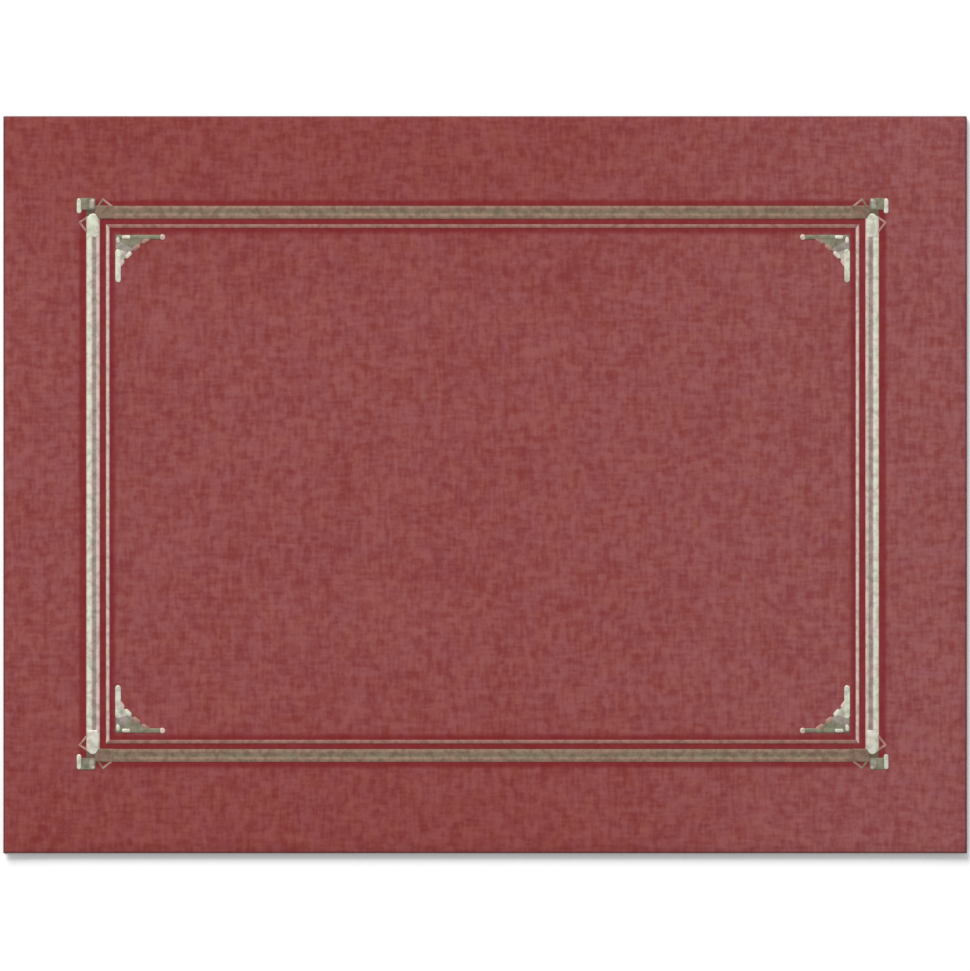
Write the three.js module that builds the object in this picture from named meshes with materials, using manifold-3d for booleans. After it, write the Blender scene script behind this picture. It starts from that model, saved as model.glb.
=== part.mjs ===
// A closed document cover that lies flat, front up. It is one sheet of card folded once along its
// top edge, with a raised foil border stamped on the front leaf and four slits in the back leaf,
// which hold the corners of a page. Millimetres: +X to the right, +Y to the fold, +Z out of the
// front. The origin is under the middle of the cover, on the surface that it lies on.

import * as THREE from 'three';
import { mergeVertices } from 'three/addons/utils/BufferGeometryUtils.js';
import Module from 'manifold-3d';

const wasm = await Module();
wasm.setup();

// The page that the cover holds, and the card that shows around it
const pageWidth = 279.4;
const pageHeight = 215.9;
const pageBorderSide = 19.05;
const pageBorderEnd = 13.55;

// The card and its fold
const cardThickness = 0.35;
const foldInnerRadius = 0.6;
const foldSteps = 10;

// The slits in the back leaf: how much of each page corner they hold, and the cut itself
const cornerTuck = 20;
const slitOverrun = 2;
const slitWidth = 0.4;

// Bare card from each edge of the cover to the foil border
const marginLeft = 27.3;
const marginRight = 28.95;
const marginTop = 29.65;
const marginBottom = 30.15;

// The border's band: two rounded ridges with a flat groove between them. It is a little wider down
// the sides than along the ends.
const filmThickness = 0.1;
const bandWidthSide = 4.5;
const outerRidgeSide = 2.1;
const innerRidgeSide = 1.3;
const bandWidthEnd = 4.2;
const outerRidgeEnd = 1.65;
const innerRidgeEnd = 1.7;
const ridgeRise = 0.13;
const ridgeSteps = 6;

// The single rule inside the band
const ruleGapSide = 2;
const ruleGapEnd = 1.85;
const ruleWidth = 1.2;
const ruleRise = 0.09;

// The knob on each outer corner of the band, and the cap bar along its outer side
const baseRise = 0.02;
const baseInset = 0.1;
const knobReachSide = 3.15;
const knobReachEnd = 2.6;
const knobInset = 3.05;
const knobDrop = 1.3;
const knobRise = 0.09;
const knobRounding = 0.7;
const knobBeadRadius = 0.8;
const knobBeadInset = 0.2;
const beadRise = 0.05;
const capWidth = 1.6;
const capLength = 5.05;
const capRise = 0.16;

// The plain sleeves that close the ends of the band, and the thin peaked line beside each. The side
// sleeve is an arch narrower than the band, and the end sleeve is a little wider than it.
const sideSleeveStart = 2.5;
const sideSleeveLength = 7.9;
const sideSleeveInset = 0.45;
const sideSleeveRise = 0.19;
const endSleeveLength = 6.1;
const endSleeveOverhang = 0.1;
const endSleeveRise = 0.16;
const sleeveRounding = 0.5;
const sleeveLap = 1;
const peakHeight = 2.55;
const peakStart = 3.8;
const peakRun = 1.7;
const peakFall = 3.2;
const peakLine = 0.65;
const peakRise = 0.04;

// The bracket in each inner corner. The arm along the end has a round tip, and the arm down the side
// starts below a notch, where only the web's film shows. Lobes run along the web's bent edge, and two
// pills, one on each arm's line, mark the corner.
const bracketGapSide = 1.85;
const bracketGapEnd = 2.3;
const armLengthAcross = 16.5;
const armLengthDown = 15.7;
const armWidthAcross = 1.5;
const armWidthDown = 1.9;
const armRise = 0.13;
const tipRadius = 0.95;
const notchEnd = 4.7;
const webReachAcross = 11.6;
const webReachDown = 10.8;
const webDip = 4.9;
const webInset = 0.15;
const webSteps = 8;
const lobeCount = 4;
const lobeLength = 2.9;
const lobeWidth = 1.5;
const lobeRise = 0.1;
const pillWidth = 1.2;
const uprightPillLength = 2.3;
const uprightPillStart = 0.45;
const levelPillLength = 3.1;
const levelPillStart = 2.05;
const tipBeadInset = 0.15;

const roundSteps = 6;
const beadSides = 12;
const beadRings = 3;
const weldDistance = 1e-4;

// How far relief is made below the card's face before it is trimmed flush with it
const rootDepth = 0.5;

// Sizes that follow from those above
const coverWidth = pageWidth + 2 * pageBorderSide;
const coverHeight = pageHeight + 2 * pageBorderEnd;
const foldOuterRadius = foldInnerRadius + cardThickness;
const frontTop = 2 * foldOuterRadius;
const bandLeft = -coverWidth / 2 + marginLeft;
const bandRight = coverWidth / 2 - marginRight;
const bandTop = coverHeight / 2 - marginTop;
const bandBottom = -coverHeight / 2 + marginBottom;

const cardBurgundy = new THREE.MeshStandardMaterial({
  color: 0x8f4a4a, roughness: 0.6, metalness: 0.1,
});
const foilSilver = new THREE.MeshStandardMaterial({
  color: 0xb9b5a2, roughness: 0.35, metalness: 0.9,
});

// Outlines are lists of [x, y] points.
function arc(centre, radius, from, to, steps = roundSteps) {
  const points = [];
  for (let i = 0; i <= steps; i += 1) {
    const angle = from + ((to - from) * i) / steps;
    points.push([centre[0] + radius * Math.cos(angle), centre[1] + radius * Math.sin(angle)]);
  }
  return points;
}

function toShape(points) {
  return new THREE.Shape(points.map(([x, y]) => new THREE.Vector2(x, y)));
}

function toSolid(geometry) {
  const bare = geometry.clone();
  bare.deleteAttribute('normal');
  bare.deleteAttribute('uv');
  const welded = mergeVertices(bare, weldDistance);
  return new wasm.Manifold(new wasm.Mesh({
    numProp: 3,
    vertProperties: new Float32Array(welded.attributes.position.array),
    triVerts: new Uint32Array(welded.index.array),
  }));
}

function toGeometry(solid) {
  const mesh = solid.getMesh();
  const geometry = new THREE.BufferGeometry();
  geometry.setAttribute('position', new THREE.BufferAttribute(mesh.vertProperties, 3));
  geometry.setIndex(new THREE.BufferAttribute(mesh.triVerts, 1));
  geometry.computeVertexNormals();
  return geometry;
}

function joinAll(solids) {
  return solids.reduce((whole, next) => whole.add(next));
}

// Relief stands on the card. Every plate of it starts at its root and ends at its own top.
function plate(points, top) {
  const geometry = new THREE.ExtrudeGeometry(toShape(points), {
    depth: rootDepth + top, bevelEnabled: false,
  });
  geometry.translate(0, 0, -rootDepth);
  return toSolid(geometry);
}

// Joined relief, trimmed at height 0, so that its underside is one clean face
function stampedFilm(parts) {
  const below = new THREE.BoxGeometry(2 * coverWidth, 2 * coverHeight, 2 * rootDepth);
  below.translate(0, 0, -rootDepth);
  return joinAll(parts).subtract(toSolid(below));
}

function roundedRectangle(left, right, low, high, rounding) {
  const quarter = Math.PI / 2;
  return [
    ...arc([right - rounding, low + rounding], rounding, -quarter, 0),
    ...arc([right - rounding, high - rounding], rounding, 0, quarter),
    ...arc([left + rounding, high - rounding], rounding, quarter, 2 * quarter),
    ...arc([left + rounding, low + rounding], rounding, 2 * quarter, 3 * quarter),
  ];
}

// A straight line of the given width with round ends centred on its two points
function strokeOutline(from, to, width) {
  const along = Math.atan2(to[1] - from[1], to[0] - from[0]);
  const quarter = Math.PI / 2;
  return [
    ...arc(to, width / 2, along - quarter, along + quarter),
    ...arc(from, width / 2, along + quarter, along + 3 * quarter),
  ];
}

// A line of the given width through three points, with square ends and a mitred bend
function bentLineOutline(start, bend, end, width) {
  const aside = (from, to) => {
    const along = to.clone().sub(from).normalize();
    return new THREE.Vector2(-along.y, along.x);
  };
  const first = aside(start, bend);
  const second = aside(bend, end);
  const mitre = first.clone().add(second).divideScalar(1 + first.dot(second));
  const sides = [[start, first], [bend, mitre], [end, second]];
  const edge = (side) => sides.map(([point, offset]) => (
    point.clone().addScaledVector(offset, (side * width) / 2)
  ));
  return [...edge(1), ...edge(-1).reverse()].map((point) => [point.x, point.y]);
}

// A round bead whose dome starts at the film, so that it stands out of the plate around it
function bead(centre, radius, top) {
  const profile = [[0, -rootDepth], [radius, -rootDepth]];
  for (let i = 0; i < beadRings; i += 1) {
    const angle = (Math.PI / 2) * (i / beadRings);
    const height = filmThickness + (top - filmThickness) * Math.sin(angle);
    profile.push([radius * Math.cos(angle), height]);
  }
  profile.push([0, top]);
  const points = profile.map(([x, y]) => new THREE.Vector2(x, y));
  const geometry = new THREE.LatheGeometry(points, beadSides);
  geometry.rotateX(Math.PI / 2);
  geometry.translate(centre[0], centre[1], 0);
  return toSolid(geometry);
}

// Points over one rounded ridge on the film, from its outer edge inwards
function ridge(start, width, rise) {
  const points = [];
  for (let i = 0; i <= ridgeSteps; i += 1) {
    const angle = (Math.PI * i) / ridgeSteps;
    const across = start + (width * (1 - Math.cos(angle))) / 2;
    points.push([across, filmThickness + rise * Math.sin(angle)]);
  }
  return points;
}

// The section across one bar of the band, from its outer edge inwards
function bandSection(width, outerRidge, innerRidge) {
  return [
    [0, -rootDepth],
    ...ridge(0, outerRidge, ridgeRise),
    ...ridge(width - innerRidge, innerRidge, ridgeRise),
    [width, -rootDepth],
  ];
}

// A rectangular ring of the given section with mitred corners: each point of the section runs
// round a rectangle that lies as far inside the ring's outer edge as the point does.
function mitredRing(left, right, low, high, section) {
  const positions = [];
  const triangles = [];
  const rows = section.length;
  for (const [inset, height] of section) {
    positions.push(left + inset, low + inset, height, right - inset, low + inset, height);
    positions.push(right - inset, high - inset, height, left + inset, high - inset, height);
  }
  for (let row = 0; row < rows; row += 1) {
    for (let side = 0; side < 4; side += 1) {
      const here = 4 * row + side;
      const next = 4 * row + ((side + 1) % 4);
      const above = 4 * ((row + 1) % rows) + side;
      const aboveNext = 4 * ((row + 1) % rows) + ((side + 1) % 4);
      triangles.push(here, next, aboveNext, here, aboveNext, above);
    }
  }
  const geometry = new THREE.BufferGeometry();
  geometry.setAttribute('position', new THREE.Float32BufferAttribute(positions, 3));
  geometry.setIndex(triangles);
  return toSolid(geometry);
}

// The four straight bars of the band, which stop short of its corners
function bandBars(endInset, sideInset) {
  const up = new THREE.Vector3(0, 0, 1);
  const wide = bandRight - bandLeft - 2 * endInset;
  const tall = bandTop - bandBottom - 2 * sideInset;
  const end = bandSection(bandWidthEnd, outerRidgeEnd, innerRidgeEnd);
  const side = bandSection(bandWidthSide, outerRidgeSide, innerRidgeSide);
  const bars = [
    { section: end, across: [0, -1], start: [bandRight - endInset, bandTop], length: wide },
    { section: side, across: [1, 0], start: [bandLeft, bandTop - sideInset], length: tall },
    { section: end, across: [0, 1], start: [bandLeft + endInset, bandBottom], length: wide },
    { section: side, across: [-1, 0], start: [bandRight, bandBottom + sideInset], length: tall },
  ];
  return bars.map(({ section, across, start, length }) => {
    const inwards = new THREE.Vector3(across[0], across[1], 0);
    const along = inwards.clone().cross(up);
    const geometry = new THREE.ExtrudeGeometry(toShape(section), {
      depth: length, bevelEnabled: false,
    });
    geometry.applyMatrix4(new THREE.Matrix4().makeBasis(inwards, up, along));
    geometry.translate(start[0], start[1], 0);
    return toSolid(geometry);
  });
}

// Corners of a rectangle. A corner's own axes start at its point and run into the rectangle.
function cornersOf(left, right, low, high) {
  return [
    { name: 'top_left', x: left, y: high, right: 1, up: -1 },
    { name: 'top_right', x: right, y: high, right: -1, up: -1 },
    { name: 'bottom_left', x: left, y: low, right: 1, up: 1 },
    { name: 'bottom_right', x: right, y: low, right: -1, up: 1 },
  ];
}

function placed(corner, points) {
  return points.map(([u, v]) => [corner.x + corner.right * u, corner.y + corner.up * v]);
}

// The folded card, with a slit across each page corner in the back leaf
function foldedCard() {
  const freeEdge = -coverHeight / 2;
  const foldCentre = [coverHeight / 2 - foldOuterRadius, foldOuterRadius];
  const quarter = Math.PI / 2;
  const section = [
    [freeEdge, 0],
    ...arc(foldCentre, foldOuterRadius, -quarter, quarter, foldSteps),
    [freeEdge, frontTop],
    [freeEdge, frontTop - cardThickness],
    ...arc(foldCentre, foldInnerRadius, quarter, -quarter, foldSteps),
    [freeEdge, cardThickness],
  ];
  const geometry = new THREE.ExtrudeGeometry(toShape(section), {
    depth: coverWidth, bevelEnabled: false,
  });
  geometry.applyMatrix4(new THREE.Matrix4().makeBasis(
    new THREE.Vector3(0, 1, 0), new THREE.Vector3(0, 0, 1), new THREE.Vector3(1, 0, 0),
  ));
  geometry.translate(-coverWidth / 2, 0, 0);

  let card = toSolid(geometry);
  const pageCorners = cornersOf(-pageWidth / 2, pageWidth / 2, -pageHeight / 2, pageHeight / 2);
  for (const corner of pageCorners) {
    const slitLength = cornerTuck * Math.SQRT2 + 2 * slitOverrun;
    const slit = new THREE.BoxGeometry(slitLength, slitWidth, 2 * cardThickness);
    slit.rotateZ((corner.right * corner.up * -Math.PI) / 4);
    slit.translate(
      corner.x + (corner.right * cornerTuck) / 2,
      corner.y + (corner.up * cornerTuck) / 2,
      cardThickness / 2,
    );
    card = card.subtract(toSolid(slit));
  }
  return card;
}

// The knob, cap bar, sleeves and peaked lines on one corner of the band
function bandCorner(corner) {
  const on = (points) => placed(corner, points);
  const box = (left, right, low, high, rounding, top) => (
    plate(on(roundedRectangle(left, right, low, high, rounding)), top)
  );
  const knobTop = filmThickness + knobRise;
  const beadEdge = knobBeadRadius + knobBeadInset;
  const beadCentre = [knobInset - beadEdge, beadEdge - knobReachEnd];
  const capMiddle = -knobReachSide + capWidth / 2;
  const capEnd = (capLength - capWidth) / 2;
  const sleeveMiddle = bandWidthSide / 2;
  const sleeveRadius = sleeveMiddle - sideSleeveInset;
  const sleeveEnd = sideSleeveStart + sideSleeveLength;
  const parts = [
    box(
      baseInset, bandWidthSide - baseInset, baseInset, bandWidthEnd - baseInset,
      sleeveRounding, filmThickness + baseRise,
    ),
    box(capMiddle, knobInset, -knobReachEnd, knobDrop, knobRounding, knobTop),
    bead(on([beadCentre])[0], knobBeadRadius, knobTop + beadRise),
    plate(
      on(strokeOutline([capMiddle, -capEnd], [capMiddle, capEnd], capWidth)),
      filmThickness + capRise,
    ),
    box(
      knobInset - endSleeveOverhang, knobInset + endSleeveLength,
      -endSleeveOverhang, bandWidthEnd + endSleeveOverhang,
      sleeveRounding, filmThickness + endSleeveRise,
    ),
    plate(
      on([
        ...arc([sleeveMiddle, sideSleeveStart + sleeveRadius], sleeveRadius, -Math.PI, 0),
        [bandWidthSide - sideSleeveInset, sleeveEnd],
        [sideSleeveInset, sleeveEnd],
      ]),
      filmThickness + sideSleeveRise,
    ),
  ];

  // Each peaked line stands on the band's outer edge: one along the end, one down the side.
  const foot = peakLine / 2;
  const peak = bentLineOutline(
    new THREE.Vector2(peakStart, foot),
    new THREE.Vector2(peakStart + peakRun, -peakHeight + foot),
    new THREE.Vector2(peakStart + peakRun + peakFall, foot),
    peakLine,
  );
  for (const outline of [peak, peak.map(([u, v]) => [v, u])]) {
    parts.push(plate(on(outline), filmThickness + peakRise));
  }
  return joinAll(parts);
}

function outerFrame() {
  return stampedFilm([
    ...bandBars(knobInset + endSleeveLength - sleeveLap, sideSleeveStart + sleeveLap),
    ...cornersOf(bandLeft, bandRight, bandBottom, bandTop).map(bandCorner),
  ]);
}

// The rule's outer edges, and the bracket corners inside it
const ruleInsetSide = bandWidthSide + ruleGapSide;
const ruleInsetEnd = bandWidthEnd + ruleGapEnd;
const bracketInsetSide = ruleInsetSide + ruleWidth + bracketGapSide;
const bracketInsetEnd = ruleInsetEnd + ruleWidth + bracketGapEnd;

function innerRule() {
  const section = [[0, 0], ...ridge(0, ruleWidth, ruleRise), [ruleWidth, 0]];
  return mitredRing(
    bandLeft + ruleInsetSide, bandRight - ruleInsetSide,
    bandBottom + ruleInsetEnd, bandTop - ruleInsetEnd, section,
  );
}

// The web's free edge bends from one arm to the other.
const webEdge = new THREE.QuadraticBezierCurve(
  new THREE.Vector2(webReachAcross, armWidthAcross / 2),
  new THREE.Vector2(webDip, webDip),
  new THREE.Vector2(armWidthDown / 2, webReachDown),
);

// A bracket about its own corner. It opens to the right and up as the signs say.
function bracket(right, up) {
  const on = (points) => placed({ x: 0, y: 0, right, up }, points);
  const quarter = Math.PI / 2;
  const halfAcross = armWidthAcross / 2;
  const halfDown = armWidthDown / 2;
  const halfPill = pillWidth / 2;
  const armTop = filmThickness + armRise;
  const tip = [armLengthAcross - tipRadius, halfAcross];
  const tipTurn = Math.PI - Math.asin(halfAcross / tipRadius);
  const armAcross = [
    ...arc([halfAcross, halfAcross], halfAcross, quarter, 3 * quarter),
    ...arc(tip, tipRadius, -tipTurn, tipTurn),
  ];
  const armDown = [
    [0, notchEnd],
    [armWidthDown, notchEnd],
    ...arc([halfDown, armLengthDown - halfDown], halfDown, 0, 2 * quarter),
  ];
  const web = [
    [webInset, webInset],
    ...webEdge.getPoints(webSteps).map((point) => [point.x, point.y]),
    [webInset, notchEnd + webInset],
  ];
  const pill = (from, to) => (
    plate(on(strokeOutline(from, to, pillWidth)), armTop + beadRise)
  );
  const parts = [
    plate(on(web), filmThickness),
    plate(on(armAcross), armTop),
    plate(on(armDown), armTop),
    bead(on([tip])[0], tipRadius - tipBeadInset, armTop + beadRise),
    pill(
      [halfDown, uprightPillStart + halfPill],
      [halfDown, uprightPillStart + uprightPillLength - halfPill],
    ),
    pill(
      [levelPillStart + halfPill, halfAcross],
      [levelPillStart + levelPillLength - halfPill, halfAcross],
    ),
  ];
  for (let i = 0; i < lobeCount; i += 1) {
    const share = (i + 0.5) / lobeCount;
    const centre = webEdge.getPoint(share);
    const half = webEdge.getTangent(share).multiplyScalar((lobeLength - lobeWidth) / 2);
    const from = centre.clone().sub(half);
    const to = centre.clone().add(half);
    const outline = strokeOutline([from.x, from.y], [to.x, to.y], lobeWidth);
    parts.push(plate(on(outline), filmThickness + lobeRise));
  }
  return stampedFilm(parts);
}

function addPiece(group, name, solid, material, place) {
  const mesh = new THREE.Mesh(toGeometry(solid), material.clone());
  mesh.name = name;
  mesh.position.set(...place);
  group.add(mesh);
}

const documentCover = new THREE.Group();
addPiece(documentCover, 'folded_card', foldedCard(), cardBurgundy, [0, 0, 0]);
addPiece(documentCover, 'foil_outer_frame', outerFrame(), foilSilver, [0, 0, frontTop]);
addPiece(documentCover, 'foil_inner_rule', innerRule(), foilSilver, [0, 0, frontTop]);
const bracketCorners = cornersOf(
  bandLeft + bracketInsetSide, bandRight - bracketInsetSide,
  bandBottom + bracketInsetEnd, bandTop - bracketInsetEnd,
);
for (const { name, x, y, right, up } of bracketCorners) {
  const solid = bracket(right, up);
  addPiece(documentCover, `foil_bracket_${name}`, solid, foilSilver, [x, y, frontTop]);
}

export default documentCover;
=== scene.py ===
"""Document cover: a folded linen-finish card with a stamped foil border, lying flat and seen from above."""

import math

import bmesh
import bpy
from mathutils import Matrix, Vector, noise


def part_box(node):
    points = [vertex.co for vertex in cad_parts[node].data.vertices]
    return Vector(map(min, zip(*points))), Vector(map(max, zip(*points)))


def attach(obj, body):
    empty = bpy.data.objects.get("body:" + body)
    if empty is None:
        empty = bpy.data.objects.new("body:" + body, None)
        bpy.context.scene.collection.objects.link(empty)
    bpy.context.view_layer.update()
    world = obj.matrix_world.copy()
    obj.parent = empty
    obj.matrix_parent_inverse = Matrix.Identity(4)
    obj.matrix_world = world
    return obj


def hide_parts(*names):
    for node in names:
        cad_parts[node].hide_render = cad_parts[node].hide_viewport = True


bl_info = {
    "name": "Document Cover",
    "version": (1, 0, 0),
    "blender": (4, 5, 0),
    "location": "View3D > Sidebar > Document Cover",
    "description": "Builds a folded card cover with a stamped foil border",
    "category": "Add Mesh",
}

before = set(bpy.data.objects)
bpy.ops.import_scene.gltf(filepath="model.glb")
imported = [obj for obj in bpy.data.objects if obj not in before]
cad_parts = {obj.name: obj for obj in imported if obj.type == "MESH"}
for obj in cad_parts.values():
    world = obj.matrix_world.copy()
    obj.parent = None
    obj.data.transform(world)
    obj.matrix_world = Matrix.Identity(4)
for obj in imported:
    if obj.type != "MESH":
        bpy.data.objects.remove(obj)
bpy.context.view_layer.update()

# The photograph's frame, and where the cover lies in it
PHOTO_WIDTH_PX = 970
PHOTO_HEIGHT_PX = 971
COVER_WIDTH_PX = 963.4
COVER_CENTRE_PX = (485.1, 484.6)

MM = 0.001
QUARTER = math.pi / 2

# Angles past which two faces meet in a sharp edge
CARD_SHARP = math.radians(60)
FOIL_SHARP = math.radians(38)

# Faces round a round corner or end, round a side sleeve's arch, up a round side, over a plate's rolled
# edge, over a ridge and along a web's bent edge
END_STEPS = 8
ARCH_STEPS = 16
SIDE_STEPS = 6
EDGE_STEPS = 4
RIDGE_STEPS = 12
BEND_STEPS = 16

# Length of the linen's slubs in thread pitches, and the share of its height from the threads down the card
SLUB = 5
DOWN_SHARE = 0.55

# From the cover to the floor's edges, in metres
FLOOR_REACH = 6.0

# Size of the blotches in each material
LINEN_BLOTCH = 2.8 * MM
LINEN_HUE = 6 * MM
LINEN_DRIFT = 22 * MM
LINEN_FIBRE = 0.25 * MM
INSIDE_FELT = 0.5 * MM
CORE_FIBRE = 0.09 * MM
FOIL_SPARKLE = 2.3 * MM
FOIL_HUE = 5 * MM
FOIL_GRAIN = 0.6 * MM
FOIL_RIPPLE = 1.4 * MM

# Colours that others are multiplied by
WHITE = (1.0, 1.0, 1.0, 1.0)
# Painted sheen on the card: darker and redder along its long edges, greyer at its right
LONG_EDGE_PAINTED_SHADE = (0.92, 0.78, 0.74, 1.0)
RIGHT_PAINTED_SHEEN = (1.03, 1.18, 1.22, 1.0)
WARM_LINEN = (1.01, 1.0, 0.91, 1.0)
COOL_LINEN = (0.99, 0.98, 1.06, 1.0)
DARK_FELT = (0.88, 0.86, 0.86, 1.0)
PALE_FELT = (1.06, 1.08, 1.08, 1.0)
DARK_FIBRE = (0.75, 0.75, 0.75, 1.0)
PALE_FIBRE = (1.25, 1.3, 1.3, 1.0)
GREEN_FOIL = (0.98, 1.02, 0.98, 1.0)
WARM_FOIL = (1.04, 0.985, 1.0, 1.0)
DIM_FOIL = (0.74, 0.71, 0.70, 1.0)
BRIGHT_FOIL = (1.05, 1.05, 1.05, 1.0)
# Painted shade on the lower flanks of the glossier foil shapes
FLANK_PAINTED_SHADE = (0.70, 0.58, 0.54, 1.0)

# The foil's glancing reflection, and the floor as the camera sees it
FOIL_GLANCE = (0.72, 0.70, 0.66, 1.0)
SEEN_FLOOR = (1.1, 1.1, 1.1, 1.0)

# Most that the pressed colour covers the card's, and where it fades inside the rule, in press reaches
PRESSED_MOST = 0.75
PRESS_FADE_START = 1.2
PRESS_FADE_END = 2.5

# How metallic each painted lit or shaded tone of the one foil looks. Those over FLANKED get painted shade on
# their flanks.
FOIL_GLOSS = {
    **dict.fromkeys(("cream", "blush", "mint"), 0.55),
    **dict.fromkeys(("mist", "sage", "dusk"), 0.5),
    **dict.fromkeys(("olive", "moss", "fern", "umber", "shade", "rust", "clay"), 0.25),
}
FLANKED = 0.5

CARD_LOW, CARD_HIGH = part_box("folded_card")
FRAME_LOW, FRAME_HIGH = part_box("foil_outer_frame")
RULE_LOW, RULE_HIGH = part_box("foil_inner_rule")
FRONT_TOP = CARD_HIGH.z


def length(name, millimetres, description):
    """A size, given in millimetres and kept in metres."""
    return bpy.props.FloatProperty(
        name=name,
        description=description,
        default=millimetres * MM,
        unit="LENGTH",
        subtype="DISTANCE",
        precision=5,
    )


def tint(name, red, green, blue, description):
    """A colour, as linear red, green and blue."""
    return bpy.props.FloatVectorProperty(
        name=name,
        description=description,
        default=(red, green, blue),
        size=3,
        subtype="COLOR",
    )


class CoverCardSettings(bpy.types.PropertyGroup):
    """Sizes and colours of the folded card."""

    thickness: length("Card thickness", 0.35, "Thickness of the sheet")
    edge_rounding: length("Edge rounding", 0.07, "Radius of the softened cut edges")
    grid: length("Grid", 4.0, "Size of the faces on the flat leaves")
    fold_steps: bpy.props.IntProperty(
        name="Fold steps", description="Faces round the outside of the fold", default=24, min=6
    )
    corner_lift: length("Corner lift", 0.22, "How far the free corners of the front leaf stand up")
    lift_reach: length("Lift reach", 24.0, "How far from a free corner the front leaf lifts")
    page_width: length("Page width", 279.4, "Width of the page that the slits hold")
    page_height: length("Page height", 215.9, "Height of the page that the slits hold")
    corner_tuck: length("Corner tuck", 20.0, "How much of each page corner a slit holds")
    slit_overrun: length("Slit overrun", 2.0, "How far a slit runs past the page at each end")
    slit_width: length("Slit width", 0.4, "Gap between the two lips of a slit")
    # Deep and pale burgundy are mixed by random blotches and by the threads: painted highlight on the
    # threads, painted shade in the hollows
    deep_colour: tint("Deep burgundy", 0.226, 0.038, 0.037, "Card in the hollows of the linen")
    pale_colour: tint("Pale burgundy", 0.310, 0.089, 0.087, "Card on the threads of the linen")
    pressed_colour: tint("Pressed burgundy", 0.189, 0.009, 0.013, "Card that the stamping die has flattened")
    press_reach: length("Press reach", 1.6, "How far the flattened card runs past the border")
    # Painted shade: the card darkens along its cut edges and round the fold
    shaded_rim_width: length("Rim width", 0.9, "Darker card along the cut edges")
    inside_colour: tint("Inside burgundy", 0.235, 0.052, 0.056, "Plain side of the card, inside the cover")
    core_colour: tint("Core burgundy", 0.095, 0.032, 0.034, "Cut edge of the card")
    thread_pitch: length("Thread pitch", 1.2, "Distance between the embossed linen threads")


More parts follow.
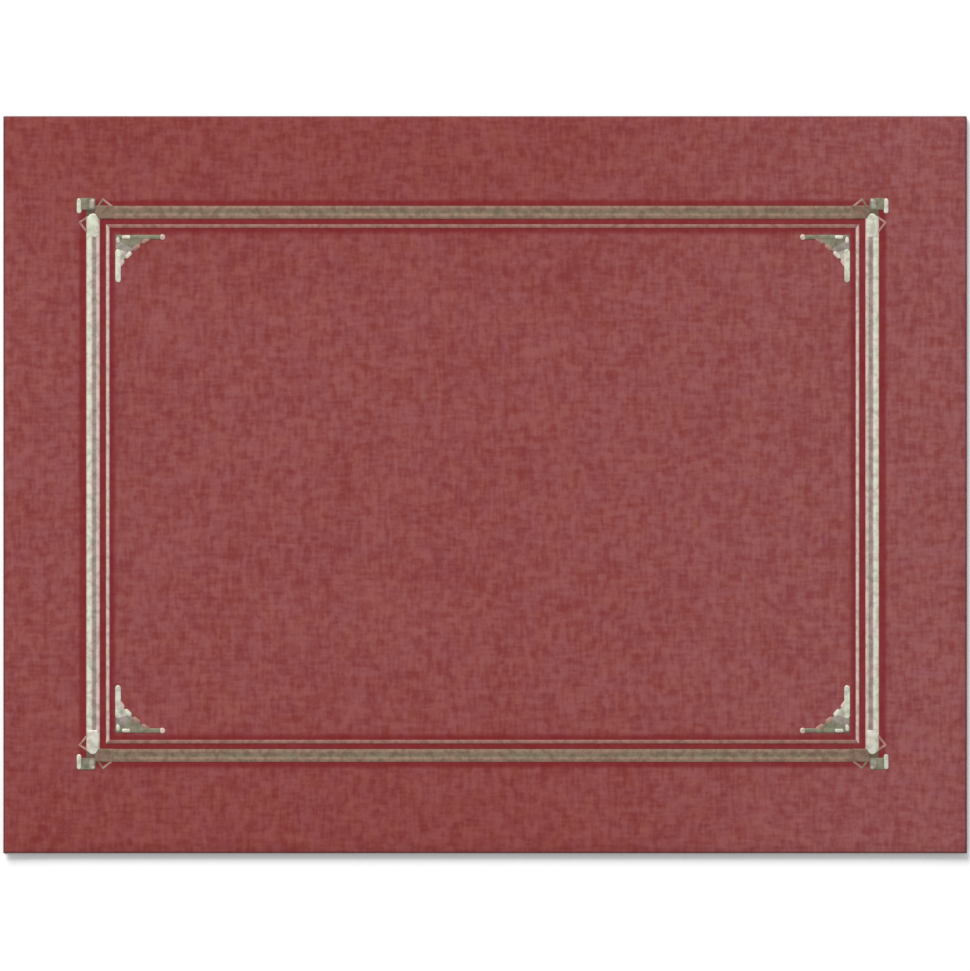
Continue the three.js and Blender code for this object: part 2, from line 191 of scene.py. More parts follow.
class CoverFoilSettings(bpy.types.PropertyGroup):
    """Sizes of the stamped foil, and its tones: painted lit and shaded copies of the one foil."""

    film: length("Film", 0.1, "Height of the flat foil over the card")
    band_side: length("Band down the sides", 4.5, "Width of the band down the sides")
    outer_ridge_side: length("Outer ridge down the sides", 2.1, "Width of the side bars' outer ridge")
    inner_ridge_side: length("Inner ridge down the sides", 1.3, "Width of the side bars' inner ridge")
    band_end: length("Band along the ends", 4.2, "Width of the band along the ends")
    outer_ridge_end: length("Outer ridge along the ends", 1.65, "Width of the end bars' outer ridge")
    inner_ridge_end: length("Inner ridge along the ends", 1.7, "Width of the end bars' inner ridge")
    ridge_rise: length("Ridge rise", 0.13, "Height of the band's ridges over the film")
    groove_dip: length("Groove dip", 0.03, "How far the groove's floor lies below the film")
    rule_gap_side: length("Rule gap down the sides", 2.0, "Card between the side bars and the rule")
    rule_gap_end: length("Rule gap along the ends", 1.85, "Card between the end bars and the rule")
    rule_width: length("Rule width", 1.2, "Width of the single rule inside the band")
    rule_rise: length("Rule rise", 0.09, "Height of the rule over the film")
    # Painted shade: a glossy shape's flanks darken up to this height
    shaded_flank_rise: length("Flank rise", 0.07, "Height over the film up to which a shape's flanks are dimmer")
    base_inset: length("Base inset", 0.1, "Film from the band's edges to the base of a corner")
    knob_reach_side: length("Knob reach sideways", 3.15, "How far a corner knob stands out sideways")
    knob_reach_end: length("Knob reach endways", 2.6, "How far a corner knob stands out past the band's end")
    knob_inset: length("Knob inset", 3.05, "How far a knob runs along the band's end")
    knob_drop: length("Knob drop", 1.3, "How far a knob runs down the band's side")
    knob_rise: length("Knob rise", 0.09, "Height of a knob over the film")
    knob_rounding: length("Knob rounding", 0.7, "Radius of a knob's corners")
    knob_bead: length("Knob bead", 0.7, "Radius of the bead on a knob")
    facet_width: length("Facet width", 1.9, "Width of the lighter facet on a knob")
    cap_width: length("Cap width", 1.6, "Width of the bar along a knob's outer side")
    cap_length: length("Cap length", 5.05, "Length of the bar along a knob's outer side")
    cap_rise: length("Cap rise", 0.16, "Height of the bar over the film")
    side_sleeve_start: length("Side sleeve start", 2.5, "From the band's corner to the side sleeve")
    side_sleeve_length: length("Side sleeve length", 7.9, "Length of the side sleeve")
    side_sleeve_inset: length("Side sleeve inset", 0.45, "From the band's edges to the side sleeve")
    side_sleeve_rise: length("Side sleeve rise", 0.19, "Height of the side sleeve over the film")
    end_sleeve_length: length("End sleeve length", 6.1, "Length of the end sleeve")
    end_sleeve_overhang: length("End sleeve overhang", 0.1, "How far the end sleeve is wider than the band")
    end_sleeve_rise: length("End sleeve rise", 0.16, "Height of the end sleeve over the film")
    sleeve_rounding: length("Sleeve rounding", 0.5, "Radius of the sleeves' corners")
    peak_height: length("Peak height", 2.55, "How far a peaked line stands out of the band")
    peak_start: length("Peak start", 3.8, "From the band's corner to the start of a peaked line")
    peak_run: length("Peak run", 1.7, "From the start of a peaked line to its peak")
    peak_fall: length("Peak fall", 3.2, "From a line's peak to its end")
    peak_line: length("Peak line", 0.75, "Width of a peaked line")
    arm_across: length("Arm across", 16.5, "Length of the bracket arm along the end")
    arm_down: length("Arm down", 15.7, "Length of the bracket arm down the side")
    arm_width_across: length("Arm width across", 1.5, "Width of the bracket arm along the end")
    arm_width_down: length("Arm width down", 1.9, "Width of the bracket arm down the side")
    arm_rise: length("Arm rise", 0.13, "Height of the bracket's arms over the film")
    arm_tip: length("Arm tip", 0.95, "Radius of the round tip of the arm along the end")
    notch_end: length("Notch end", 4.7, "From the bracket's corner to the start of the arm down the side")
    web_reach_across: length("Web reach across", 11.6, "How far the web runs along the end")
    web_reach_down: length("Web reach down", 10.8, "How far the web runs down the side")
    web_dip: length("Web dip", 4.9, "How near the web's bent edge is drawn to the bracket's corner")
    web_inset: length("Web inset", 0.15, "From the bracket's outline to the web's film in the notch")
    upper_web_rise: length("Upper web rise", 0.03, "Height of the web's upper half over the film")
    lower_web_rise: length("Lower web rise", 0.04, "Height of the web's lower half over the film")
    lobe_length: length("Lobe length", 2.9, "Length of a lobe on the web's edge")
    lobe_width: length("Lobe width", 1.5, "Width of a lobe on the web's edge")
    lobe_rise: length("Lobe rise", 0.1, "Height of a lobe over the film")
    lobe_count: bpy.props.IntProperty(
        name="Lobes", description="Lobes on the edge of a bracket's web", default=4, min=1
    )
    pill_width: length("Pill width", 1.2, "Width of the two pills at a bracket's corner")
    upright_pill_start: length("Upright pill start", 0.45, "From the bracket's end edge to the upright pill")
    upright_pill_length: length("Upright pill length", 2.3, "Length of the upright pill")
    level_pill_start: length("Level pill start", 2.05, "From the bracket's side edge to the level pill")
    level_pill_length: length("Level pill length", 3.1, "Length of the level pill")
    bead_rise: length("Bead rise", 0.05, "How far a bead stands out of what it lies on")
    rounding: length("Rounding", 0.14, "Radius of the rolled edges of flat foil shapes")
    ripple: length("Ripple", 0.012, "Height of the linen that shows through the foil")
    station: length("Station", 0.9, "Distance between the sections of a bar")
    # Painted light: each tone is the one foil lit or shaded by which way its shape faces, darker in grooves
    # and recesses
    cream: tint("Cream foil", 0.635, 0.620, 0.522, "Foil that catches the light, down the sides")
    blush: tint("Blush foil", 0.600, 0.455, 0.425, "Foil on the inner ridges, the rule and the beads")
    mint: tint("Mint foil", 0.600, 0.605, 0.510, "Foil on the caps, the side sleeves and the upright arms")
    mist: tint("Mist foil", 0.450, 0.440, 0.375, "Foil on the webs' lower half")
    sage: tint("Sage foil", 0.350, 0.345, 0.285, "Foil on the knobs' facets")
    dusk: tint("Dusk foil", 0.300, 0.262, 0.236, "Foil in the side bars' groove and the brackets' notch")
    olive: tint("Olive foil", 0.284, 0.188, 0.138, "Foil on the ridges along the ends")
    moss: tint("Moss foil", 0.208, 0.176, 0.118, "Foil in the end bars' groove")
    fern: tint("Fern foil", 0.240, 0.230, 0.165, "Foil on the knobs, the level arms and the webs' upper half")
    umber: tint("Umber foil", 0.236, 0.158, 0.115, "Foil on the end sleeves")
    shade: tint("Shade foil", 0.150, 0.108, 0.080, "Foil in the recess under each knob")
    rust: tint("Rust foil", 0.335, 0.165, 0.138, "Foil on the rule's ends")
    clay: tint("Clay foil", 0.420, 0.235, 0.200, "Foil on the peaked lines and the webs' upper lobes")


class CoverStageSettings(bpy.types.PropertyGroup):
    """The floor, the lamp and the camera."""

    lens: bpy.props.FloatProperty(
        name="Lens", description="Focal length of the camera", default=120.0, unit="CAMERA"
    )
    floor_colour: tint("Floor colour", 0.8, 0.8, 0.8, "Floor in the lamp's light, as other surfaces see it")
    key_azimuth: bpy.props.FloatProperty(
        name="Key azimuth",
        description="Direction to the lamp, anticlockwise from the cover's right",
        default=math.radians(112),
        unit="ROTATION",
        subtype="ANGLE",
    )
    key_height: bpy.props.FloatProperty(
        name="Key height",
        description="Angle of the lamp over the floor",
        default=math.radians(31),
        unit="ROTATION",
        subtype="ANGLE",
    )
    key_distance: length("Key distance", 6000.0, "From the cover to the lamp")
    key_size: length("Key size", 3000.0, "Side of the square lamp")
    key_power: bpy.props.FloatProperty(
        name="Key power", description="Power of the lamp", default=366.0, unit="POWER"
    )
    world_strength: bpy.props.FloatProperty(
        name="World strength", description="Strength of the even light from all round", default=0.5
    )


# Node helpers


class Graph:
    """The node tree of a material or a world, built by short calls."""

    def __init__(self, owner, output="ShaderNodeOutputMaterial"):
        owner.use_nodes = True
        self.owner = owner
        self.tree = owner.node_tree
        self.tree.nodes.clear()
        self.output = self.node(output)

    def node(self, kind, **values):
        made = self.tree.nodes.new(kind)
        for key, value in values.items():
            setattr(made, key, value)
        return made

    def feed(self, socket, value):
        if isinstance(value, bpy.types.NodeSocket):
            self.tree.links.new(value, socket)
        elif value is not None:
            socket.default_value = value

    def math(self, operation, first, second=None, third=None):
        made = self.node("ShaderNodeMath", operation=operation)
        for socket, value in zip(made.inputs, (first, second, third)):
            self.feed(socket, value)
        return made.outputs[0]

    def place(self):
        return self.node("ShaderNodeTexCoord").outputs["Object"]

    def axes(self):
        """The place's x, y and z."""
        split = self.node("ShaderNodeSeparateXYZ")
        self.feed(split.inputs[0], self.place())
        return split.outputs

    def stretched(self, scale, offset=(0, 0, 0)):
        made = self.node("ShaderNodeMapping")
        self.feed(made.inputs["Vector"], self.place())
        made.inputs["Scale"].default_value = scale
        made.inputs["Location"].default_value = offset
        return made.outputs[0]

    def grain(self, size, detail=2.0, stretch=(1, 1, 1), offset=(0, 0, 0), roughness=0.5):
        """Noise whose blotches are about size metres across, times stretch."""
        scale = tuple(1 / (size * s) for s in stretch)
        made = self.node("ShaderNodeTexNoise")
        self.feed(made.inputs["Vector"], self.stretched(scale, offset))
        made.inputs["Scale"].default_value = 1.0
        made.inputs["Detail"].default_value = detail
        made.inputs["Roughness"].default_value = roughness
        return made.outputs["Fac"]

    def spread(self, value, low, high, to_low=0.0, to_high=1.0):
        made = self.node("ShaderNodeMapRange", interpolation_type="SMOOTHSTEP")
        self.feed(made.inputs["Value"], value)
        for name, number in zip(("From Min", "From Max", "To Min", "To Max"), (low, high, to_low, to_high)):
            made.inputs[name].default_value = number
        return made.outputs[0]

    def rectangle(self, low, high):
        """Distance to a rectangle's outline, in metres: below 0 inside it, above 0 outside."""
        axes = self.axes()
        sides = []
        for axis in range(2):
            middle = (low[axis] + high[axis]) / 2
            away = self.math("ABSOLUTE", self.math("SUBTRACT", axes[axis], middle))
            sides.append(self.math("SUBTRACT", away, (high[axis] - low[axis]) / 2))
        return self.math("MAXIMUM", *sides)

    def mix(self, share, first, second, blend="MIX"):
        made = self.node("ShaderNodeMix", data_type="RGBA", blend_type=blend)
        self.feed(made.inputs["Factor"], share)
        self.feed(made.inputs["A"], first)
        self.feed(made.inputs["B"], second)
        return made.outputs["Result"]

    def shaded(self, colour, shade):
        return self.mix(1.0, colour, shade, "MULTIPLY")

    def bump(self, height, distance, strength):
        made = self.node("ShaderNodeBump")
        made.inputs["Strength"].default_value = strength
        made.inputs["Distance"].default_value = distance
        self.feed(made.inputs["Height"], height)
        return made.outputs[0]

    def seen(self):
        """1 for what the camera sees, straight or in a reflection, and 0 for what lights other surfaces."""
        path = self.node("ShaderNodeLightPath")
        seen = self.math("MAXIMUM", path.outputs["Is Camera Ray"], path.outputs["Is Glossy Ray"])
        return self.math("MAXIMUM", seen, path.outputs["Is Transmission Ray"])

    def finish(self, made):
        self.feed(self.output.inputs["Surface"], made.outputs[0])
        return self.owner

    def surface(self, colour, roughness, normal, **constants):
        made = self.node("ShaderNodeBsdfPrincipled")
        self.feed(made.inputs["Base Color"], colour)
        self.feed(made.inputs["Roughness"], roughness)
        self.feed(made.inputs["Normal"], normal)
        for name, value in constants.items():
            made.inputs[name.replace("_", " ")].default_value = value
        return self.finish(made)


def new_graph(name):
    """The graph of a new material."""
    return Graph(bpy.data.materials.new(name))


def rgba(colour):
    return (*colour, 1.0)


# Materials


def linen_threads(graph, pitch):
    """Height of the embossed linen, from 0 to 1: slubby threads down the card, and fainter ones across it."""
    down = graph.spread(graph.grain(pitch, 1.0, stretch=(1, SLUB, 1)), 0.28, 0.72)
    across = graph.grain(pitch, 1.0, stretch=(SLUB, 1, 1), offset=(3.7, 1.9, 0))
    across = graph.spread(across, 0.28, 0.72)
    return graph.math("MULTIPLY_ADD", across, 1 - DOWN_SHARE, graph.math("MULTIPLY", down, DOWN_SHARE))


def pressed_band(graph, settings):
    """How much the stamping die has flattened the card's pearl: most across the border, 0 away from it."""
    reach = settings.press_reach
    outside = graph.rectangle(FRAME_LOW, FRAME_HIGH)
    near = graph.spread(outside, -reach, 0.0, PRESSED_MOST, 0.0)
    inside = graph.rectangle(RULE_LOW, RULE_HIGH)
    far = graph.spread(inside, -PRESS_FADE_END * reach, -PRESS_FADE_START * reach)
    return graph.math("MULTIPLY", near, far)


def painted_sheen_drift(graph):
    """Slight painted sheen on the card's colour: darker and redder along its long edges, greyer at its right.
    """
    x, y, _ = graph.axes()
    reach = CARD_HIGH.y * 1.1
    long_edges = graph.spread(graph.math("ABSOLUTE", y), reach / 3, reach)
    shade = graph.mix(long_edges, WHITE, LONG_EDGE_PAINTED_SHADE)
    return graph.mix(graph.spread(x, 0.0, CARD_HIGH.x), shade, RIGHT_PAINTED_SHEEN)


def card_material(settings):
    """Burgundy linen-finish card with a slight pearl sheen, darker where it is pressed, with painted
    highlight on the threads, painted shade in the hollows and along the edges and fold, and painted sheen at
    the right.
    """
    graph = new_graph("linen_card")
    threads = linen_threads(graph, settings.thread_pitch)
    blotches = graph.spread(graph.grain(LINEN_BLOTCH, roughness=0.6), 0.25, 0.75)
    # Half the tone follows the threads, giving painted highlight on them and painted shade in their hollows;
    # the rest is random blotches
    tone = graph.math("MULTIPLY_ADD", blotches, 0.5, graph.math("MULTIPLY", threads, 0.5))
    tone = graph.math("MULTIPLY_ADD", graph.grain(LINEN_DRIFT, 1.0, offset=(5.1, 2.3, 0.7)), 0.3, tone)
    colour = graph.mix(graph.spread(tone, 0.1, 1.15), rgba(settings.deep_colour), rgba(settings.pale_colour))
    coolness = graph.spread(graph.grain(LINEN_HUE, offset=(2.2, 7.1, 1.3)), 0.3, 0.7)
    colour = graph.shaded(colour, graph.mix(coolness, WARM_LINEN, COOL_LINEN))
    # Painted sheen: greyer at the right, less along the long edges
    colour = graph.shaded(colour, painted_sheen_drift(graph))
    colour = graph.mix(pressed_band(graph, settings), colour, rgba(settings.pressed_colour))
    # Painted shade: the card darkens to the core colour along its cut edges and round the fold
    painted_edge_shade = graph.spread(graph.rectangle(CARD_LOW, CARD_HIGH), -settings.shaded_rim_width, 0.0)
    colour = graph.mix(painted_edge_shade, colour, rgba(settings.core_colour))
    height = graph.math("MULTIPLY_ADD", graph.grain(LINEN_FIBRE), 0.3, threads)
    roughness = graph.spread(threads, 0.0, 1.0, 0.82, 0.68)
    return graph.surface(colour, roughness, graph.bump(height, 0.05 * MM, 0.6), Specular_IOR_Level=0.15)


def inside_material(settings):
    """The plain side of the card, with only the sheet's fine felt."""
    graph = new_graph("card_inside")
    felt = graph.grain(INSIDE_FELT, 3.0)
    shade = graph.mix(graph.spread(felt, 0.3, 0.7), DARK_FELT, PALE_FELT)
    colour = graph.shaded(rgba(settings.inside_colour), shade)
    return graph.surface(colour, 0.72, graph.bump(felt, 0.02 * MM, 0.5), Specular_IOR_Level=0.3)


def core_material(settings):
    """The cut edge of the card: dark fibres in fine layers along the sheet."""
    graph = new_graph("card_core")
    fibres = graph.grain(CORE_FIBRE, stretch=(8, 8, 1))
    shade = graph.mix(graph.spread(fibres, 0.3, 0.7), DARK_FIBRE, PALE_FIBRE)
    colour = graph.shaded(rgba(settings.core_colour), shade)
    return graph.surface(colour, 0.85, graph.bump(fibres, 0.03 * MM, 0.6), Specular_IOR_Level=0.2)


def foil_material(tone, gloss, settings):
    """Satin stamping foil with the linen's sparkle painted in, and painted shade on the lower flanks of the
    shapes that shine most.
    """
    graph = new_graph(f"foil_{tone}")
    colour = rgba(getattr(settings, tone))
    warmth = graph.spread(graph.grain(FOIL_HUE, 1.0, offset=(1.3, 8.2, 0)), 0.35, 0.65)
    base = graph.mix(warmth, graph.shaded(colour, GREEN_FOIL), graph.shaded(colour, WARM_FOIL))
    sparkle = graph.grain(FOIL_SPARKLE, roughness=0.6)
    lit = graph.spread(sparkle, 0.3, 0.65)
    base = graph.mix(lit, graph.shaded(base, DIM_FOIL), graph.shaded(base, BRIGHT_FOIL))
    # Painted shade: glossier tones darken towards the foot of their shapes
    if gloss > FLANKED:
        foot = FRONT_TOP + settings.film
        raised = graph.spread(graph.axes()[2], foot, foot + settings.shaded_flank_rise)
        base = graph.mix(raised, graph.shaded(base, FLANK_PAINTED_SHADE), base)
    polish = 0.7 * gloss
    roughness = graph.spread(sparkle, 0.3, 0.7, 0.98 - polish, 0.88 - polish)
    normal = graph.bump(graph.grain(FOIL_GRAIN), 0.03 * MM, 0.5)
    return graph.surface(base, roughness, normal, Metallic=gloss, Specular_IOR_Level=0.25,
                         Specular_Tint=FOIL_GLANCE)


# The folded card


def sheet_section(s):
    """The outside of the folded sheet, from the back leaf's free edge round the fold to the front leaf's."""
    radius = (CARD_HIGH.z - CARD_LOW.z) / 2
    fold_y = CARD_HIGH.y - radius
    middle = (CARD_HIGH.z + CARD_LOW.z) / 2
    rows = round((fold_y - CARD_LOW.y) / s.grid)
    leaf = [CARD_LOW.y + (fold_y - CARD_LOW.y) * i / rows for i in range(rows)]
    back = [(y, CARD_LOW.z) for y in leaf]
    bend = [(p.x, p.y) for p in arc((fold_y, middle), radius, -QUARTER, QUARTER, s.fold_steps)]
    return [*back, *bend, *((y, CARD_HIGH.z) for y in reversed(leaf))]


def corner_lift(x, y, s):
    """How far the front leaf stands up at a point, near its two free corners."""
    nearest = min((Vector((x, y)) - Vector((side, CARD_LOW.y))).length for side in (CARD_LOW.x, CARD_HIGH.x))
    share = max(0.0, 1 - nearest / s.lift_reach)
    return s.corner_lift * share * share


def slit_cutters(s):
    """A thin upright block for each slit, across the corners of the page that the back leaf holds."""
    shape = bmesh.new()
    half = Vector((s.page_width / 2, s.page_height / 2))
    middle = ((CARD_LOW + CARD_HIGH) / 2).xy
    reach = s.corner_tuck / math.sqrt(2) + s.slit_overrun
    for corner in corners_of(middle - half, middle + half):
        centre = corner.at(s.corner_tuck / 2, s.corner_tuck / 2)
        along = Vector((corner.right, -corner.up)).normalized()
        across = Vector((-along.y, along.x)) * s.slit_width / 2
        base = [centre + along * reach * a + across * b for a, b in ((-1, -1), (1, -1), (1, 1), (-1, 1))]
        low, high = (
            [shape.verts.new((p.x, p.y, CARD_LOW.z + s.thickness * level)) for p in base] for level in (-1, 2)
        )
        shape.faces.new(low)
        shape.faces.new(high)
        for i in range(4):
            j = (i + 1) % 4
            shape.faces.new((low[i], low[j], high[j], high[i]))
    bmesh.ops.recalc_face_normals(shape, faces=shape.faces)
    mesh = bpy.data.meshes.new("slit_cutters")
    shape.to_mesh(mesh)
    shape.free()
    cutters = bpy.data.objects.new("slit_cutters", mesh)
    bpy.context.collection.objects.link(cutters)
    return cutters


def folded_sheet(s):
    """The sheet: its outer skin on a grid, given its thickness, its slits and its softened edges."""
    shape = bmesh.new()
    section = sheet_section(s)
    columns = round((CARD_HIGH.x - CARD_LOW.x) / s.grid)
    rows = []
    for y, z in section:
        row = []
        for i in range(columns + 1):
            x = CARD_LOW.x + (CARD_HIGH.x - CARD_LOW.x) * i / columns
            lift = corner_lift(x, y, s) if z > (CARD_LOW.z + CARD_HIGH.z) / 2 else 0
            row.append(shape.verts.new((x, y, z + lift)))
        rows.append(row)
    for low, high in zip(rows, rows[1:]):
        for i in range(columns):
            shape.faces.new((low[i], high[i], high[i + 1], low[i + 1]))
    for face in shape.faces:
        face.smooth = True
    mesh = bpy.data.meshes.new("cover_card")
    shape.to_mesh(mesh)
    shape.free()
    for material in (card_material(s), inside_material(s), core_material(s)):
        mesh.materials.append(material)
    piece = bpy.data.objects.new("cover_card", mesh)
    bpy.context.collection.objects.link(piece)

    thick = piece.modifiers.new("thickness", "SOLIDIFY")
    thick.thickness = s.thickness
    thick.offset = -1
    thick.material_offset = 1
    thick.material_offset_rim = 2
    cut = piece.modifiers.new("slits", "BOOLEAN")
    cut.operation = "DIFFERENCE"
    cut.solver = "EXACT"
    cut.object = slit_cutters(s)
    soft = piece.modifiers.new("soft_edges", "BEVEL")
    soft.limit_method = "ANGLE"
    soft.angle_limit = CARD_SHARP
    soft.width = s.edge_rounding
    soft.segments = 2
    soft.material = 2

    whole = bpy.data.meshes.new_from_object(piece.evaluated_get(bpy.context.evaluated_depsgraph_get()))
    bpy.data.objects.remove(cut.object)
    piece.modifiers.clear()
    piece.data = whole
    whole.name = "cover_card"
    return piece


# Shapes on the card's face


class Corner:
    """A corner of an upright rectangle, whose own axes start at its point and run into the rectangle."""

    def __init__(self, name, x, y, right, up):
        self.name = name
        self.x = x
        self.y = y
        self.right = right
        self.up = up

    def at(self, u, v):
        return Vector((self.x + self.right * u, self.y + self.up * v))


def corners_of(low, high):
    return [
        Corner("top_left", low.x, high.y, 1, -1),
        Corner("top_right", high.x, high.y, -1, -1),
        Corner("bottom_left", low.x, low.y, 1, 1),
        Corner("bottom_right", high.x, low.y, -1, 1),
    ]


def arc(centre, radius, start, end, steps=END_STEPS):
    angles = [start + (end - start) * i / steps for i in range(steps + 1)]
    return [Vector((centre[0] + radius * math.cos(a), centre[1] + radius * math.sin(a))) for a in angles]


def rounded_rectangle(left, right, low, high, radius):
    return [
        *arc((right - radius, low + radius), radius, -QUARTER, 0),
        *arc((right - radius, high - radius), radius, 0, QUARTER),
        *arc((left + radius, high - radius), radius, QUARTER, 2 * QUARTER),
        *arc((left + radius, low + radius), radius, 2 * QUARTER, 3 * QUARTER),
    ]


def anticlockwise(outline):
    turns = sum(a.cross(b) for a, b in zip(outline, outline[1:] + outline[:1]))
    return outline if turns > 0 else outline[::-1]


def inset(outline, amount):
    """The anticlockwise outline, drawn in by amount along the mitre of each corner."""
    moved = []
    for before, here, after in zip(outline[-1:] + outline[:-1], outline, outline[1:] + outline[:1]):
        sides = [(b - a).normalized() for a, b in ((before, here), (here, after))]
        first, second = (Vector((-side.y, side.x)) for side in sides)
        moved.append(here + (first + second) * amount / max(1 + first.dot(second), 0.3))
    return moved


def linen_ripple(x, y):
    """Height from -1 to 1 of the linen that shows through thin foil at a point of the face."""
    return noise.noise(Vector((x / FOIL_RIPPLE, y / FOIL_RIPPLE, 0.37)))


class Relief:
    """Raised foil shells on the card's face, gathered into one mesh with a material for each tone."""

    def __init__(self, name, node_name):
        self.name = name
        self.node_name = node_name
        self.shape = bmesh.new()
        self.tones = []

    def slot_of(self, tone):
        if tone not in self.tones:
            self.tones.append(tone)
        return self.tones.index(tone)

    def shell(self, rings, tone_at, closed=False):
        """A skin through rings of points, whose tone may change with the ring and the place on it."""
        loops = [[self.shape.verts.new(point) for point in ring] for ring in rings]
        pairs = list(zip(loops, loops[1:]))
        if closed:
            pairs.append((loops[-1], loops[0]))
        else:
            for cap in (loops[0][::-1], loops[-1]):
                self.shape.faces.new(cap).material_index = self.slot_of(tone_at(0, 0))
        for row, (low, high) in enumerate(pairs):
            for i in range(len(low)):
                j = (i + 1) % len(low)
                face = self.shape.faces.new((low[i], low[j], high[j], high[i]))
                face.material_index = self.slot_of(tone_at(row, i))

    def plate(self, outline, top, rounding, tone, steps=EDGE_STEPS):
        """A flat plate whose upper edge rolls over."""
        outline = anticlockwise(outline)
        rings = [(0.0, 0.0)]
        for i in range(steps + 1):
            angle = QUARTER * i / steps
            height = top - min(rounding, top * 0.8) * (1 - math.sin(angle))
            rings.append((rounding * (1 - math.cos(angle)), height))
        self.shell(
            [[(p.x, p.y, FRONT_TOP + height) for p in inset(outline, amount)] for amount, height in rings],
            lambda row, i: tone,
        )

    def dome(self, start, end, width, foot, top, tone):
        """A half-round bar from start to end, whose round ends are centred on those points."""
        along = math.atan2(end.y - start.y, end.x - start.x)
        outline = [(p, end) for p in arc(end, width / 2, along - QUARTER, along + QUARTER)]
        outline += [(p, start) for p in arc(start, width / 2, along + QUARTER, along + 3 * QUARTER)]
        skins = [[(p.x, p.y, FRONT_TOP) for p, _ in outline]]
        for i in range(SIDE_STEPS + 1):
            angle = QUARTER * i / SIDE_STEPS * 0.94
            share = math.cos(angle)
            height = FRONT_TOP + foot + (top - foot) * math.sin(angle)
            skins.append([(*(c + (p - c) * share), height) for p, c in outline])
        self.shell(skins, lambda row, i: tone)

    def bead(self, centre, radius, foot, top, tone):
        """A round bead."""
        nudge = Vector((radius * 0.02, 0))
        self.dome(centre - nudge, centre + nudge, 2 * radius, foot, top, tone)

    def finish(self, materials):
        """Makes the object, and puts it in the place of its CAD node."""
        bmesh.ops.recalc_face_normals(self.shape, faces=self.shape.faces)
        for face in self.shape.faces:
            face.smooth = True
        mesh = bpy.data.meshes.new(self.name)
        self.shape.to_mesh(mesh)
        self.shape.free()
        mesh.set_sharp_from_angle(angle=FOIL_SHARP)
        for tone in self.tones:
            mesh.materials.append(materials[tone])
        piece = bpy.data.objects.new(self.name, mesh)
        bpy.context.collection.objects.link(piece)
        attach(piece, "root")
        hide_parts(self.node_name)
        return piece


def ridge_points(start, width, foot, rise):
    """Points over one softly rounded ridge, as distance from the bar's outer edge and height."""
    shares = [i / RIDGE_STEPS for i in range(RIDGE_STEPS + 1)]
    return [(start + width * t, foot + rise * math.sin(math.pi * t) ** 1.5) for t in shares]


def band_section(width, outer_ridge, inner_ridge, s):
    """The band's section from its outer edge inwards, and how many of its stretches are outer and groove."""
    outer = ridge_points(0, outer_ridge, s.film, s.ridge_rise)
    inner = ridge_points(width - inner_ridge, inner_ridge, s.film, s.ridge_rise)
    floor = ((outer_ridge + width - inner_ridge) / 2, s.film - s.groove_dip)
    return [(0, 0), *outer, floor, *inner, (width, 0)], len(outer)


def band_tones(ridge_end, count, outer, groove, inner):
    """The tone of each stretch of a band's section."""
    tones = [outer] * ridge_end + [groove] * 2
    return tones + [inner] * (count - len(tones))


def section_ring(place, points, ripple):
    """A section across a bar, with the linen's ripple on it. place gives the spot at a distance across it."""
    ring = []
    for across, height in points:
        spot = place(across)
        lift = ripple * linen_ripple(*spot) if height > 0 else 0
        ring.append((*spot, FRONT_TOP + height + lift))
    return ring


def bar_rings(start, end, inwards, points, s):
    """Sections at even stations from start to end."""
    count = max(2, round((end - start).length / s.station))
    middles = (start.lerp(end, i / count) for i in range(count + 1))
    return [section_ring(lambda across: middle + inwards * across, points, s.ripple) for middle in middles]


